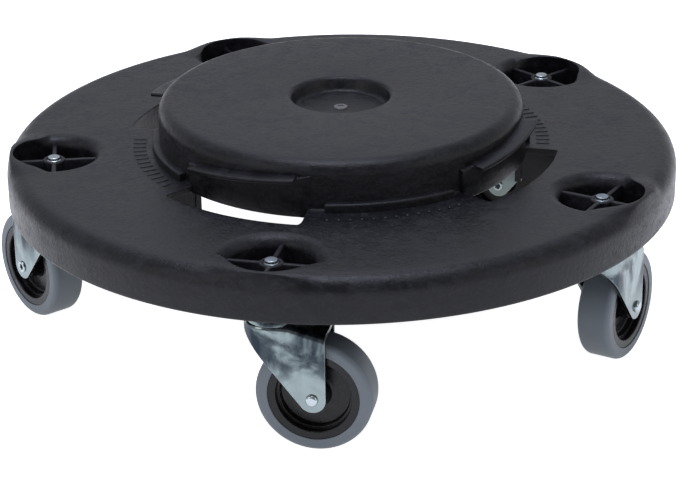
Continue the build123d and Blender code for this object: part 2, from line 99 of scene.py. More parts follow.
class DollyDeckSettings(PropertyGroup):
    """Sizes of the deck moulding. Heights are above the skirt's lower edge."""

    radius: FloatProperty(
        name="Deck radius",
        description="Radius of the skirt",
        default=0.2318,
        unit="LENGTH",
    )
    skirt_z: FloatProperty(
        name="Skirt height",
        description="Height of the skirt's lower edge above the floor",
        default=DECK_LOW.z,
        unit="LENGTH",
    )
    plate: FloatProperty(
        name="Plate height",
        description="Top of the deck plate",
        default=0.0315,
        unit="LENGTH",
    )
    wall: FloatProperty(
        name="Wall",
        description="Thickness of the moulding's walls",
        default=0.0045,
        unit="LENGTH",
    )
    shoulder: FloatProperty(
        name="Shoulder",
        description="Rounding between the plate and the skirt",
        default=0.012,
        unit="LENGTH",
    )
    hub_radius: FloatProperty(
        name="Hub radius",
        description="Radius of the raised hub",
        default=0.126,
        unit="LENGTH",
    )
    hub_height: FloatProperty(
        name="Hub height",
        description="Top of the hub",
        default=DECK_HIGH.z - DECK_LOW.z,
        unit="LENGTH",
    )
    hub_edge: FloatProperty(
        name="Hub edge",
        description="Rounding of the hub's upper edge",
        default=0.009,
        unit="LENGTH",
    )
    recess_radius: FloatProperty(
        name="Recess radius",
        description="Radius of the recess in the hub, at its mouth",
        default=0.0347,
        unit="LENGTH",
    )
    recess_depth: FloatProperty(
        name="Recess depth",
        description="Depth of the recess in the hub",
        default=0.0097,
        unit="LENGTH",
    )
    pocket_circle: FloatProperty(
        name="Caster circle",
        description="Radius of the circle that the casters stand on",
        default=0.1993,
        unit="LENGTH",
    )
    pocket_radius: FloatProperty(
        name="Pocket radius",
        description="Radius of one caster pocket",
        default=0.028,
        unit="LENGTH",
    )
    pocket_mouth: FloatProperty(
        name="Pocket mouth",
        description="Rounding of the plate down into a pocket",
        default=0.0085,
        unit="LENGTH",
    )
    steps: IntProperty(
        name="Steps",
        description="Steps in one turn of the moulding",
        default=360,
        min=90,
    )


class DollyFinishSettings(PropertyGroup):
    """Colours of the plastics, metals and rubber."""

    plastic: FloatVectorProperty(
        name="Deck plastic",
        description="Body colour of the black moulding",
        subtype="COLOR",
        default=(0.0034, 0.0035, 0.0044),
    )
    bloom: FloatVectorProperty(
        name="Plastic bloom",
        description="Pale cloudy flow marks in the moulding's skin",
        subtype="COLOR",
        default=(0.0175, 0.0177, 0.0215),
    )
    zinc: FloatVectorProperty(
        name="Zinc",
        description="Blue-white zinc plating",
        subtype="COLOR",
        default=(0.222, 0.268, 0.266),
    )
    # Painted dark reflection of the deck's underside, mixed into the plating higher up
    zinc_painted_reflection: FloatVectorProperty(
        name="Zinc painted reflection",
        description="Painted dark reflection in the plating",
        subtype="COLOR",
        default=(0.022, 0.031, 0.040),
    )
    steel: FloatVectorProperty(
        name="Steel",
        description="Bare bearing steel",
        subtype="COLOR",
        default=(0.56, 0.57, 0.58),
    )
    core: FloatVectorProperty(
        name="Wheel centre",
        description="Black plastic of the wheel centres",
        subtype="COLOR",
        default=(0.0032, 0.0032, 0.0036),
    )
    tread: FloatVectorProperty(
        name="Tread",
        description="Cool grey rubber of the treads",
        subtype="COLOR",
        default=(0.097, 0.115, 0.132),
    )


class DollyStageSettings(PropertyGroup):
    """Floor and camera."""

    floor: FloatVectorProperty(
        name="Floor",
        description="Colour of the floor",
        subtype="COLOR",
        default=(0.86, 0.86, 0.86),
    )
    camera_place: FloatVectorProperty(
        name="Camera place",
        description="Where the camera stands",
        subtype="TRANSLATION",
        default=(0.0, -1.52671, 0.73368),
    )
    camera_turn: FloatVectorProperty(
        name="Camera turn",
        description="Rotation of the camera",
        subtype="EULER",
        default=(math.radians(65.9406), math.radians(0.8991), math.radians(-0.3241)),
    )
    lens: FloatProperty(
        name="Lens",
        description="Focal length of the camera, in millimetres",
        default=124.706,
    )


# Node trees


def new_group(name, inputs, outputs):
    """An empty shader node group with named inputs and outputs."""
    group = bpy.data.node_groups.new(name, "ShaderNodeTree")
    for label, kind, value in inputs:
        socket = group.interface.new_socket(label, in_out="INPUT", socket_type=kind)
        if value is not None:
            socket.default_value = value
    for label, kind in outputs:
        group.interface.new_socket(label, in_out="OUTPUT", socket_type=kind)
    source = group.nodes.new("NodeGroupInput")
    target = group.nodes.new("NodeGroupOutput")
    return group, source.outputs, target.inputs


def node(tree, kind, **settings):
    """A node with some of its own settings and socket values."""
    made = tree.nodes.new(kind)
    for key, value in settings.items():
        if hasattr(made, key):
            setattr(made, key, value)
        else:
            made.inputs[key].default_value = value
    return made


def noise(tree, vector, scale, detail, roughness=0.5, distortion=0.0):
    """The value of a noise texture on a vector."""
    made = node(
        tree,
        "ShaderNodeTexNoise",
        Scale=scale,
        Detail=detail,
        Roughness=roughness,
        Distortion=distortion,
    )
    tree.links.new(vector, made.inputs["Vector"])
    return made.outputs["Fac"]


def ramp(tree, value, low, high, to_low=0.0, to_high=1.0):
    """A value stretched smoothly from one range to another."""
    made = node(tree, "ShaderNodeMapRange", interpolation_type="SMOOTHSTEP")
    for key, setting in zip(
        ("From Min", "From Max", "To Min", "To Max"), (low, high, to_low, to_high)
    ):
        link_or_set(tree, setting, made.inputs[key])
    tree.links.new(value, made.inputs["Value"])
    return made.outputs["Result"]


def link_or_set(tree, source, socket):
    """Feeds a socket from another one, or sets it to a plain value."""
    if isinstance(source, bpy.types.NodeSocket):
        tree.links.new(source, socket)
    else:
        socket.default_value = source


def maths(tree, operation, first, second=0.0):
    """The result of one arithmetic step on two values."""
    made = node(tree, "ShaderNodeMath", operation=operation)
    link_or_set(tree, first, made.inputs[0])
    link_or_set(tree, second, made.inputs[1])
    return made.outputs[0]


def weighted(tree, *parts):
    """The sum of some values, each times its weight."""
    total = None
    for value, weight in parts:
        part = maths(tree, "MULTIPLY", value, weight)
        total = part if total is None else maths(tree, "ADD", total, part)
    return total


def blended(tree, mask, first, second):
    """A colour between two others, by a mask."""
    made = node(tree, "ShaderNodeMix", data_type="RGBA")
    link_or_set(tree, mask, made.inputs["Factor"])
    link_or_set(tree, first, made.inputs["A"])
    link_or_set(tree, second, made.inputs["B"])
    return made.outputs["Result"]


def stretched(tree, scale, turn=(0, 0, 0)):
    """Object coordinates, stretched and turned."""
    source = tree.nodes.new("ShaderNodeTexCoord")
    made = node(tree, "ShaderNodeMapping", Scale=scale, Rotation=turn)
    tree.links.new(source.outputs["Object"], made.inputs["Vector"])
    return made.outputs["Vector"]


def bumped(tree, height, distance, normal=None, strength=1.0):
    """A normal raised by a height."""
    made = node(tree, "ShaderNodeBump")
    link_or_set(tree, height, made.inputs["Height"])
    link_or_set(tree, distance, made.inputs["Distance"])
    link_or_set(tree, strength, made.inputs["Strength"])
    if normal is not None:
        tree.links.new(normal, made.inputs["Normal"])
    return made.outputs["Normal"]


def soft_edge_group():
    """Rounded-over edges, and a mask of where they are."""
    group, inputs, outputs = new_group(
        "soft_edges",
        [("Radius", "NodeSocketFloat", 0.001)],
        [("Normal", "NodeSocketVector"), ("Edge", "NodeSocketFloat")],
    )
    rounded = node(group, "ShaderNodeBevel", samples=6)
    group.links.new(inputs["Radius"], rounded.inputs["Radius"])
    surface = group.nodes.new("ShaderNodeNewGeometry")
    turn = node(group, "ShaderNodeVectorMath", operation="DOT_PRODUCT")
    group.links.new(rounded.outputs["Normal"], turn.inputs[0])
    group.links.new(surface.outputs["Normal"], turn.inputs[1])
    group.links.new(rounded.outputs["Normal"], outputs["Normal"])
    edge = ramp(group, turn.outputs["Value"], 0.995, 0.80)
    group.links.new(edge, outputs["Edge"])
    return group


def mould_skin_group():
    """Skin of a black moulding: clouds, swirls, pepper, faint scuffs and grain."""
    group, inputs, outputs = new_group(
        "mould_skin",
        [
            ("Body", "NodeSocketColor", (0.02, 0.02, 0.02, 1)),
            ("Bloom", "NodeSocketColor", (0.05, 0.05, 0.05, 1)),
            ("Cloud", "NodeSocketFloat", 0.5),
            ("Grain", "NodeSocketFloat", 0.00004),
            ("Gloss", "NodeSocketFloat", 0.42),
            ("Matt", "NodeSocketFloat", 0.62),
            ("Normal", "NodeSocketVector", None),
        ],
        [
            ("Color", "NodeSocketColor"),
            ("Roughness", "NodeSocketFloat"),
            ("Normal", "NodeSocketVector"),
        ],
    )
    flat = stretched(group, (1, 1, 1))
    swirl = stretched(group, (1, 1, 1.6), (0, 0, 0.5))
    clouds = ramp(group, noise(group, flat, 11, 6, 0.62, 1.1), 0.38, 0.62)
    speckle = ramp(group, noise(group, swirl, 95, 5, 0.65, 0.6), 0.42, 0.66)
    pepper = ramp(group, noise(group, flat, 420, 3, 0.6), 0.54, 0.68)
    scuff = stretched(group, (55, 900, 300), (0.2, 0.1, 0.7))
    scuffs = ramp(group, noise(group, scuff, 1.0, 3, 0.5, 0.4), 0.69, 0.78)
    mottle = weighted(
        group, (clouds, 0.22), (speckle, 0.34), (pepper, 0.42), (scuffs, 0.10)
    )
    share = maths(group, "MULTIPLY", mottle, inputs["Cloud"])
    colour = blended(group, share, inputs["Body"], inputs["Bloom"])
    rough = ramp(group, mottle, 0.0, 1.0, inputs["Gloss"], inputs["Matt"])
    fine = noise(group, flat, 1500, 4, 0.6)
    coarse = noise(group, flat, 330, 4, 0.6)
    swell = noise(group, flat, 26, 2, 0.5)
    height = weighted(group, (fine, 1.0), (coarse, 3.0), (swell, 7.0))
    normal = bumped(group, height, inputs["Grain"], inputs["Normal"])
    group.links.new(colour, outputs["Color"])
    group.links.new(rough, outputs["Roughness"])
    group.links.new(normal, outputs["Normal"])
    return group


def plating_group():
    """Zinc plating with painted dark reflection: streaks, dull spots and clouds of the
    Shade colour that thicken with height stand for the dark deck underside reflected in
    it.
    """
    group, inputs, outputs = new_group(
        "plating",
        [
            ("Bright", "NodeSocketColor", (0.6, 0.7, 0.75, 1)),
            ("Shade", "NodeSocketColor", (0.4, 0.45, 0.5, 1)),
            ("Painted Shade Share", "NodeSocketFloat", 1.0),
            ("Polish", "NodeSocketFloat", 0.16),
            ("Dull", "NodeSocketFloat", 0.36),
            ("Ripple", "NodeSocketFloat", 0.00012),
            ("Normal", "NodeSocketVector", None),
        ],
        [
            ("Color", "NodeSocketColor"),
            ("Roughness", "NodeSocketFloat"),
            ("Normal", "NodeSocketVector"),
        ],
    )
    flat = stretched(group, (1, 1, 1))
    drawn = stretched(group, (130, 130, 30), (0.1, 0.2, 0.3))
    # Painted reflection: these streaks, clouds and spots mix in the Shade colour,
    # standing for the dark deck underside seen in the metal
    streaks = ramp(group, noise(group, drawn, 1.0, 3, 0.5, 0.5), 0.38, 0.72)
    reflection_patches = ramp(group, noise(group, flat, 30, 4, 0.55, 1.0), 0.36, 0.58)
    spots = ramp(group, noise(group, flat, 700, 2, 0.5), 0.62, 0.74)
    mask = weighted(group, (streaks, 0.26), (reflection_patches, 0.95), (spots, 0.12))
    place = group.nodes.new("ShaderNodeSeparateXYZ")
    group.links.new(flat, place.inputs[0])
    # Painted dark reflection grows with height, towards the deck's underside
    reflection_by_height = ramp(
        group, place.outputs["Z"], PAINTED_REFLECTION_FROM, PAINTED_REFLECTION_FULL, 0.10, 1.0
    )
    mask = maths(group, "MULTIPLY", mask, reflection_by_height)
    share = maths(group, "MULTIPLY", mask, inputs["Painted Shade Share"])
    colour = blended(group, share, inputs["Bright"], inputs["Shade"])
    rough = ramp(group, mask, 0.0, 1.0, inputs["Polish"], inputs["Dull"])
    wave = noise(group, flat, 75, 2, 0.45, 0.3)
    peel = noise(group, flat, 520, 3, 0.5)
    height = weighted(group, (wave, 1.0), (peel, 0.06))
    normal = bumped(group, height, inputs["Ripple"], inputs["Normal"])
    group.links.new(colour, outputs["Color"])
    group.links.new(rough, outputs["Roughness"])
    group.links.new(normal, outputs["Normal"])
    return group


def rubber_skin_group():
    """Rubber skin: faint clouds, dust caught in the grain and a fine tooth."""
    group, inputs, outputs = new_group(
        "rubber_skin",
        [
            ("Body", "NodeSocketColor", (0.12, 0.12, 0.14, 1)),
            ("Dust", "NodeSocketColor", (0.30, 0.30, 0.32, 1)),
            ("Amount", "NodeSocketFloat", 0.25),
            ("Tooth", "NodeSocketFloat", 0.00003),
            ("Normal", "NodeSocketVector", None),
        ],
        [
            ("Color", "NodeSocketColor"),
            ("Roughness", "NodeSocketFloat"),
            ("Normal", "NodeSocketVector"),
        ],
    )
    flat = stretched(group, (1, 1, 1))
    clouds = ramp(group, noise(group, flat, 42, 5, 0.6, 0.5), 0.35, 0.7)
    grit = ramp(group, noise(group, flat, 900, 3, 0.6), 0.5, 0.75)
    mask = weighted(group, (clouds, 0.6), (grit, 0.4))
    share = maths(group, "MULTIPLY", mask, inputs["Amount"])
    colour = blended(group, share, inputs["Body"], inputs["Dust"])
    rough = ramp(group, mask, 0.0, 1.0, 0.46, 0.66)
    height = noise(group, flat, 1300, 4, 0.6)
    normal = bumped(group, height, inputs["Tooth"], inputs["Normal"])
    group.links.new(colour, outputs["Color"])
    group.links.new(rough, outputs["Roughness"])
    group.links.new(normal, outputs["Normal"])
    return group


def shared_group(name):
    """One of the shared effects, made the first time that it is asked for."""
    makers = {
        "soft_edges": soft_edge_group,
        "mould_skin": mould_skin_group,
        "plating": plating_group,
        "rubber_skin": rubber_skin_group,
    }
    return bpy.data.node_groups.get(name) or makers[name]()


def place_group(tree, name, **values):
    """A shared effect placed in a material, with its own values."""
    made = node(tree, "ShaderNodeGroup")
    made.node_tree = shared_group(name)
    for key, value in values.items():
        made.inputs[key].default_value = value
    return made


def finish_material(name, skin, edge_radius, values, shader_values, edge_tint=None):
    """A material of one skin effect over rounded edges, on a Principled shader."""
    material = bpy.data.materials.new(name)
    material.use_nodes = True
    tree = material.node_tree
    shader = tree.nodes["Principled BSDF"]
    for key, value in shader_values.items():
        shader.inputs[key].default_value = value
    effect = place_group(tree, skin, **values)
    colour = effect.outputs["Color"]
    if edge_radius:
        edges = place_group(tree, "soft_edges", Radius=edge_radius)
        tree.links.new(edges.outputs["Normal"], effect.inputs["Normal"])
        # The edge colour paints the rounded edges lighter: a painted highlight on the
        # forks, a plain lighter edge on the deck
        if edge_tint:
            edge_colour, amount = edge_tint
            mask = maths(tree, "MULTIPLY", edges.outputs["Edge"], amount)
            colour = blended(tree, mask, colour, edge_colour)
    tree.links.new(colour, shader.inputs["Base Color"])
    tree.links.new(effect.outputs["Roughness"], shader.inputs["Roughness"])
    tree.links.new(effect.outputs["Normal"], shader.inputs["Normal"])
    return material


def solid(colour):
    """A colour property as four numbers."""
    return (*colour, 1.0)


def deck_plastic():
    """Foamed black plastic of the deck."""
    finish = bpy.context.scene.dolly_finish
    found = bpy.data.materials.get("deck_plastic_skin")
    return found or finish_material(
        "deck_plastic_skin",
        "mould_skin",
        0.0015,
        {
            "Body": solid(finish.plastic),
            "Bloom": solid(finish.bloom),
            "Cloud": 0.85,
            "Grain": 0.00011,
            "Gloss": 0.33,
            "Matt": 0.60,
        },
        {"Specular IOR Level": 0.19},
        # Lighter colour along the moulding's rounded edges
        edge_tint=((0.030, 0.030, 0.034, 1), 0.40),
    )


def wheel_plastic():
    """Harder, glossier black plastic of the wheel centres."""
    finish = bpy.context.scene.dolly_finish
    return finish_material(
        "wheel_plastic_skin",
        "mould_skin",
        0.0005,
        {
            "Body": solid(finish.core),
            "Bloom": (0.008, 0.008, 0.009, 1),
            "Cloud": 0.5,
            "Grain": 0.00002,
            "Gloss": 0.24,
            "Matt": 0.40,
        },
        {"Specular IOR Level": 0.27},
    )


def fork_zinc():
    """Blue-white plating of the pressed forks, with painted dark reflection in their
    upper parts and a painted highlight along their edges.
    """
    finish = bpy.context.scene.dolly_finish
    return finish_material(
        "fork_plating",
        "plating",
        0.0005,
        {
            "Bright": solid(finish.zinc),
            # Shade is painted dark reflection of the deck's underside, over the forks'
            # upper parts
            "Shade": solid(finish.zinc_painted_reflection),
            "Painted Shade Share": 0.94,
            "Polish": 0.15,
            "Dull": 0.34,
            "Ripple": 0.00035,
        },
        {"Metallic": 1.0},
        # Pale edge colour: a painted highlight along the forks' rounded edges
        edge_tint=((0.86, 0.90, 0.92, 1), 0.5),
    )


def bright_zinc():
    """Brighter plating of the stems, races and rivets."""
    return finish_material(
        "bright_plating",
        "plating",
        0.0003,
        {
            "Bright": (0.40, 0.45, 0.46, 1),
            # Shade is painted dark reflection, thickening with height towards the deck
            "Shade": (0.17, 0.20, 0.23, 1),
            "Painted Shade Share": 0.8,
            "Polish": 0.22,
            "Dull": 0.40,
            "Ripple": 0.00008,
        },
        {"Metallic": 1.0},
    )


def ball_steel():
    """Polished bearing steel, darker and browner in places higher up."""
    finish = bpy.context.scene.dolly_finish
    return finish_material(
        "ball_steel_polish",
        "plating",
        0.0,
        {
            "Bright": solid(finish.steel),
            "Shade": (0.30, 0.29, 0.27, 1),
            "Painted Shade Share": 0.5,
            "Polish": 0.10,
            "Dull": 0.28,
            "Ripple": 0.00002,
        },
        {"Metallic": 1.0},
    )


def tread_rubber():
    """Soft grey rubber of the treads."""
    finish = bpy.context.scene.dolly_finish
    return finish_material(
        "tread_rubber_skin",
        "rubber_skin",
        0.0006,
        {
            "Body": solid(finish.tread),
            "Dust": (0.20, 0.215, 0.235, 1),
            "Amount": 0.22,
            "Tooth": 0.00003,
        },
        {"Specular IOR Level": 0.4},
    )


# Meshes


def round_over(bm, geometry, width, segments, affect="EDGES", clamp=False):
    """Rounds edges or corners over."""
    bmesh.ops.bevel(
        bm,
        geom=geometry,
        offset=width,
        offset_type="OFFSET",
        segments=segments,
        profile=0.5,
        affect=affect,
        material=-1,
        clamp_overlap=clamp,
    )


def turned_outline(bm, corners, roundings):
    """A face in the XZ plane with some corners rounded; returns its edges."""
    points = [Vector((r, 0, z)) for r, z in corners]
    verts = [bm.verts.new(point) for point in points]
    bm.faces.new(verts)
    for index, radius, segments in roundings:
        one = points[index - 1] - points[index]
        two = points[(index + 1) % len(points)] - points[index]
        width = radius / math.tan(one.angle(two) / 2)
        round_over(bm, [verts[index]], width, segments, "VERTICES")
    bmesh.ops.delete(bm, geom=bm.faces[:], context="FACES_ONLY")
    on_axis = [e for e in bm.edges if all(v.co.x < 1e-7 for v in e.verts)]
    bmesh.ops.delete(bm, geom=on_axis, context="EDGES")
    return bm.edges[:]


def spin_round(bm, edges, steps):
    """Turns edges once about Z and closes the surface, with its faces outwards."""
    bmesh.ops.spin(
        bm,
        geom=edges,
        cent=(0, 0, 0),
        axis=(0, 0, 1),
        angle=2 * math.pi,
        steps=steps,
        use_merge=True,
    )
    bmesh.ops.remove_doubles(bm, verts=bm.verts, dist=1e-6)
    bmesh.ops.recalc_face_normals(bm, faces=bm.faces)


def ring_block(bm, inner, outer, low, high, half_angle, steps):
    """A block that follows a sector of a ring, centred on +X; returns its vertices."""
    start = Matrix.Rotation(-half_angle, 3, "Z")
    corners = [(inner, low), (outer, low), (outer, high), (inner, high)]
    verts = [bm.verts.new(start @ Vector((r, 0, z))) for r, z in corners]
    face = bm.faces.new(verts)
    before = set(bm.verts)
    bmesh.ops.spin(
        bm,
        geom=[face, *face.edges, *verts],
        cent=(0, 0, 0),
        axis=(0, 0, 1),
        angle=2 * half_angle,
        steps=steps,
    )
    return verts + [v for v in bm.verts if v not in before]


def bar(bm, length, width, low, high, place):
    """A straight upright bar along X; returns its vertices."""
    made = bmesh.ops.create_cube(bm, size=1)["verts"]
    bmesh.ops.scale(bm, verts=made, vec=(length, width, high - low))
    bmesh.ops.translate(bm, verts=made, vec=(*place, (low + high) / 2))
    return made


def drum(bm, radius, low, high, place, segments=96, taper=1.0):
    """A closed round drum; returns its vertices."""
    made = bmesh.ops.create_cone(
        bm,
        cap_ends=True,
        segments=segments,
        radius1=radius,
        radius2=radius * taper,
        depth=high - low,
    )["verts"]
    bmesh.ops.translate(bm, verts=made, vec=(*place, (low + high) / 2))
    return made


def repeat_round(bm, count, start):
    """Turns everything to its first place and copies it evenly about Z."""
    bmesh.ops.rotate(
        bm, verts=bm.verts, cent=(0, 0, 0), matrix=Matrix.Rotation(start, 3, "Z")
    )
    geometry = bm.verts[:] + bm.edges[:] + bm.faces[:]
    bmesh.ops.spin(
        bm,
        geom=geometry,
        cent=(0, 0, 0),
        axis=(0, 0, 1),
        angle=2 * math.pi * (count - 1) / count,
        steps=count - 1,
        use_duplicate=True,
    )
    bmesh.ops.recalc_face_normals(bm, faces=bm.faces)


def pour(part, bm):
    """Adds one bmesh to another, and frees it."""
    mesh = bpy.data.meshes.new("part")
    part.to_mesh(mesh)
    part.free()
    bm.from_mesh(mesh)
    bpy.data.meshes.remove(mesh)


def to_object(bm, name):
    """Links a finished bmesh to the scene as an object."""
    mesh = bpy.data.meshes.new(name)
    bm.to_mesh(mesh)
    bm.free()
    made = bpy.data.objects.new(name, mesh)
    bpy.context.scene.collection.objects.link(made)
    return made


def cut_or_join(target, tool, operation):
    """Cuts one object out of another or joins it on, and removes the tool."""
    step = target.modifiers.new("shape", "BOOLEAN")
    step.operation = operation
    step.solver = "EXACT"
    step.object = tool
    step.use_self = False
    graph = bpy.context.evaluated_depsgraph_get()
    mesh = bpy.data.meshes.new_from_object(target.evaluated_get(graph))
    target.modifiers.remove(step)
    old = target.data
    target.data = mesh
    bpy.data.meshes.remove(old)
    bpy.data.objects.remove(tool)
    if not mesh.polygons:
        raise RuntimeError(f"{target.name} lost its faces in a {operation.lower()}")


def shade(piece, angle=math.radians(32)):
    """Smooth shading, with edges sharper than an angle kept sharp."""
    bm = bmesh.new()
    bm.from_mesh(piece.data)
    bmesh.ops.remove_doubles(bm, verts=bm.verts, dist=2e-6)
    bmesh.ops.dissolve_degenerate(bm, edges=bm.edges, dist=1e-6)
    for face in bm.faces:
        face.smooth = True
    for edge in bm.edges:
        edge.smooth = not (edge.is_manifold and edge.calc_face_angle() > angle)
    bm.to_mesh(piece.data)
    bm.free()


def dress(piece, material, body):
    """Gives a piece its finish and fastens it to a body."""
    piece.data.materials.clear()
    piece.data.materials.append(material)
    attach(piece, body)


def smooth_step(low, high, value):
    """0 below low, 1 above high, and a smooth rise between."""
    share = min(1.0, max(0.0, (value - low) / (high - low)))
    return share * share * (3 - 2 * share)


def pocket_centres():
    """Outward directions of the five caster pockets."""
    turns = [POCKET_START + 2 * math.pi * i / len(PLACES) for i in range(len(PLACES))]
    return [Vector((math.cos(t), math.sin(t))) for t in turns]


def shape_pads(bm, deck):
    """Raises the rim beside each pocket, out of the shoulder's rounding."""
    skirt = deck.skirt_z
    shoulder_start = deck.radius - deck.shoulder
    for vert in bm.verts:
        spot = vert.co.xy
        reach = spot.length
        height = vert.co.z - skirt
        if reach < 0.19 or height < 0.015:
            continue
        for outward in pocket_centres():
            offset = spot - outward * deck.pocket_circle
            away = offset.length
            if away > 0.046:
                continue
            beyond = max(0.0, reach - shoulder_start)
            fall = deck.shoulder - math.sqrt(max(0.0, deck.shoulder**2 - beyond**2))
            surface = deck.plate - fall
            weight = 1 - smooth_step(0.029, 0.0435, away)
            weight *= smooth_step(0.002, 0.024, offset.dot(outward))
            weight *= 1 - smooth_step(0.2288, 0.2318, reach)
            weight *= smooth_step(0.015, 0.022, height)
            vert.co.z += weight * (RIM_PAD - surface)


def make_shell(deck):
    """Skirt, plate, hub and recess, turned in one piece."""
    skirt = deck.skirt_z
    plate = skirt + deck.plate
    under = plate - deck.wall
    top = skirt + deck.hub_height
    floor = top - deck.recess_depth
    mouth = deck.recess_radius
    foot = mouth - 0.0031
    inner_hub = deck.hub_radius - deck.wall
    ring_foot = skirt + 0.006
    corners = [
        (0, floor),
        (foot, floor),
        (mouth, top),
        (deck.hub_radius, top),
        (deck.hub_radius, plate),
        (deck.radius, plate),
        (deck.radius, skirt),
        (deck.radius - deck.wall, skirt),
        (deck.radius - deck.wall, under),
        (deck.hub_radius, under),
        (deck.hub_radius, ring_foot),
        (inner_hub, ring_foot),
        (inner_hub, top - deck.wall),
        (mouth + deck.wall, top - deck.wall),
        (foot + deck.wall, floor - deck.wall),
        (0, floor - deck.wall),
    ]
    roundings = [
        (1, 0.0030, 5),
        (2, 0.0035, 6),
        (3, deck.hub_edge, 12),
        (4, 0.0016, 4),
        (5, deck.shoulder, 14),
        (6, 0.0018, 4),
        (7, 0.0010, 2),
        (8, deck.shoulder - deck.wall, 6),
        (12, deck.hub_edge - deck.wall, 4),
    ]
    bm = bmesh.new()
    edges = turned_outline(bm, corners, roundings)
    plate_edges = [
        e
        for e in edges
        if e.calc_length() > 0.06
        and all(v.co.x > deck.hub_radius - 0.001 for v in e.verts)
    ]
    bmesh.ops.subdivide_edges(bm, edges=plate_edges, cuts=34)
    spin_round(bm, bm.edges[:], deck.steps)
    shape_pads(bm, deck)
    return to_object(bm, "deck_moulding")


def make_slot_tool(deck):
    """Air of the four slots: through the plate, and under the hub's wall."""
    bm = bmesh.new()
    low, high = deck.skirt_z - 0.002, deck.skirt_z + deck.plate + 0.004
    ring_block(bm, 0.1255, 0.151, low, high, SLOT_HALF, 40)
    upright = [
        e
        for e in bm.edges
        if abs(e.verts[0].co.z - e.verts[1].co.z) > 0.01
        and e.verts[0].co.xy.length > 0.145
        and abs(abs(math.atan2(e.verts[0].co.y, e.verts[0].co.x)) - SLOT_HALF) < 0.002
    ]
    bmesh.ops.recalc_face_normals(bm, faces=bm.faces)
    round_over(bm, upright, 0.0075, 6)
    repeat_round(bm, SLOT_COUNT, SLOT_START)
    return to_object(bm, "slot_tool")


def make_window_tool(deck):
    """Air of the windows in the hub's ring wall, below the plate."""
    bm = bmesh.new()
    low, high = deck.skirt_z - 0.002, deck.skirt_z + deck.plate - deck.wall
    ring_block(bm, 0.118, 0.1285, low, high, SLOT_HALF, 24)
    repeat_round(bm, SLOT_COUNT, SLOT_START)
    return to_object(bm, "window_tool")


def make_pocket_wall(deck):
    """Round walls and floors that the caster pockets are sunk in."""
    bm = bmesh.new()
    outer = deck.pocket_radius + 0.002
    top = deck.skirt_z + 0.0292
    verts = drum(bm, outer, deck.skirt_z, top, (deck.pocket_circle, 0), 120)
    for vert in verts:
        if vert.co.z > top - 0.001:
            vert.co.z += 0.06 * max(0.0, vert.co.x - deck.pocket_circle)
    repeat_round(bm, len(PLACES), POCKET_START)
    return to_object(bm, "pocket_wall_tool")


def make_pocket_tool(deck):
    """Air of the caster pockets, with edges that round down into them."""
    bm = bmesh.new()
    bore, mouth = deck.pocket_radius, deck.pocket_radius + deck.pocket_mouth
    plate = deck.skirt_z + deck.plate
    outline = [
        (0, deck.skirt_z + 0.0045),
        (bore, deck.skirt_z + 0.0045),
        (bore, plate),
        (mouth, plate),
        (mouth, deck.skirt_z + 0.060),
        (0, deck.skirt_z + 0.060),
    ]
    edges = turned_outline(bm, outline, [(2, deck.pocket_mouth, 12)])
    spin_round(bm, edges, 144)
    for vert in bm.verts:
        if vert.co.xy.length > bore - 1e-5 and vert.co.z > deck.skirt_z + 0.006:
            vert.co.z += 0.013 * smooth_step(0.002, 0.022, vert.co.x)
    bmesh.ops.translate(bm, verts=bm.verts, vec=(deck.pocket_circle, 0, 0))
    repeat_round(bm, len(PLACES), POCKET_START)
    return to_object(bm, "pocket_tool")


def bevel_upper(bm, verts, level, width, segments=3):
    """Rounds the edges of a block that lie above a level."""
    chosen = set(verts)
    edges = [
        e
        for e in bm.edges
        if e.verts[0] in chosen
        and e.verts[1] in chosen
        and min(v.co.z for v in e.verts) > level
        and e.is_manifold
        and e.calc_face_angle() > 0.6
    ]
    round_over(bm, edges, width, segments, clamp=True)


def make_lugs(deck):
    """Four proud wall panels with their sloping twist-lock lugs."""
    skirt = deck.skirt_z
    bm = bmesh.new()
    panel = ring_block(
        bm, 0.1225, 0.129, skirt + 0.0268, skirt + 0.05135, PANEL_HALF, 42
    )
    lug = ring_block(bm, 0.1235, 0.1375, skirt + 0.0501, skirt + 0.0526, LUG_HALF, 36)
    for vert in panel + lug:
        if vert.co.z > skirt + 0.04:
            vert.co.z += LUG_SLOPE * vert.co.y
    for vert in panel:
        turn = math.atan2(vert.co.y, vert.co.x)
        if vert.co.xy.length > 0.1285:
            fade = smooth_step(PANEL_FADE, PANEL_HALF, turn)
            vert.co.xy *= 1 - 0.0226 * fade
    bmesh.ops.recalc_face_normals(bm, faces=bm.faces)
    bevel_upper(bm, lug, skirt + 0.040, 0.0007)
    edges = [
        e
        for e in bm.edges
        if e.is_manifold
        and e.calc_face_angle() > 1.2
        and all(v.co.xy.length > 0.1285 for v in e.verts)
        and all(v.co.xy.length < 0.1295 for v in e.verts)
    ]
    round_over(bm, edges, 0.0007, 3, clamp=True)
    repeat_round(bm, SLOT_COUNT, SLOT_START)
    made = to_object(bm, "twist_lock_lugs")
    shade(made)
    return made


def make_curbs(deck):
    """Four low curbs at the hub's foot, between the slots."""
    bm = bmesh.new()
    low, high = deck.skirt_z + deck.plate - 0.002, deck.skirt_z + deck.plate + 0.006
    verts = ring_block(bm, 0.1235, 0.131, low, high, math.radians(19.6), 40)
    bmesh.ops.recalc_face_normals(bm, faces=bm.faces)
    bevel_upper(bm, verts, high - 0.001, 0.0014, 4)
    repeat_round(bm, SLOT_COUNT, CURB_START)
    made = to_object(bm, "hub_curbs")
    shade(made)
    return made


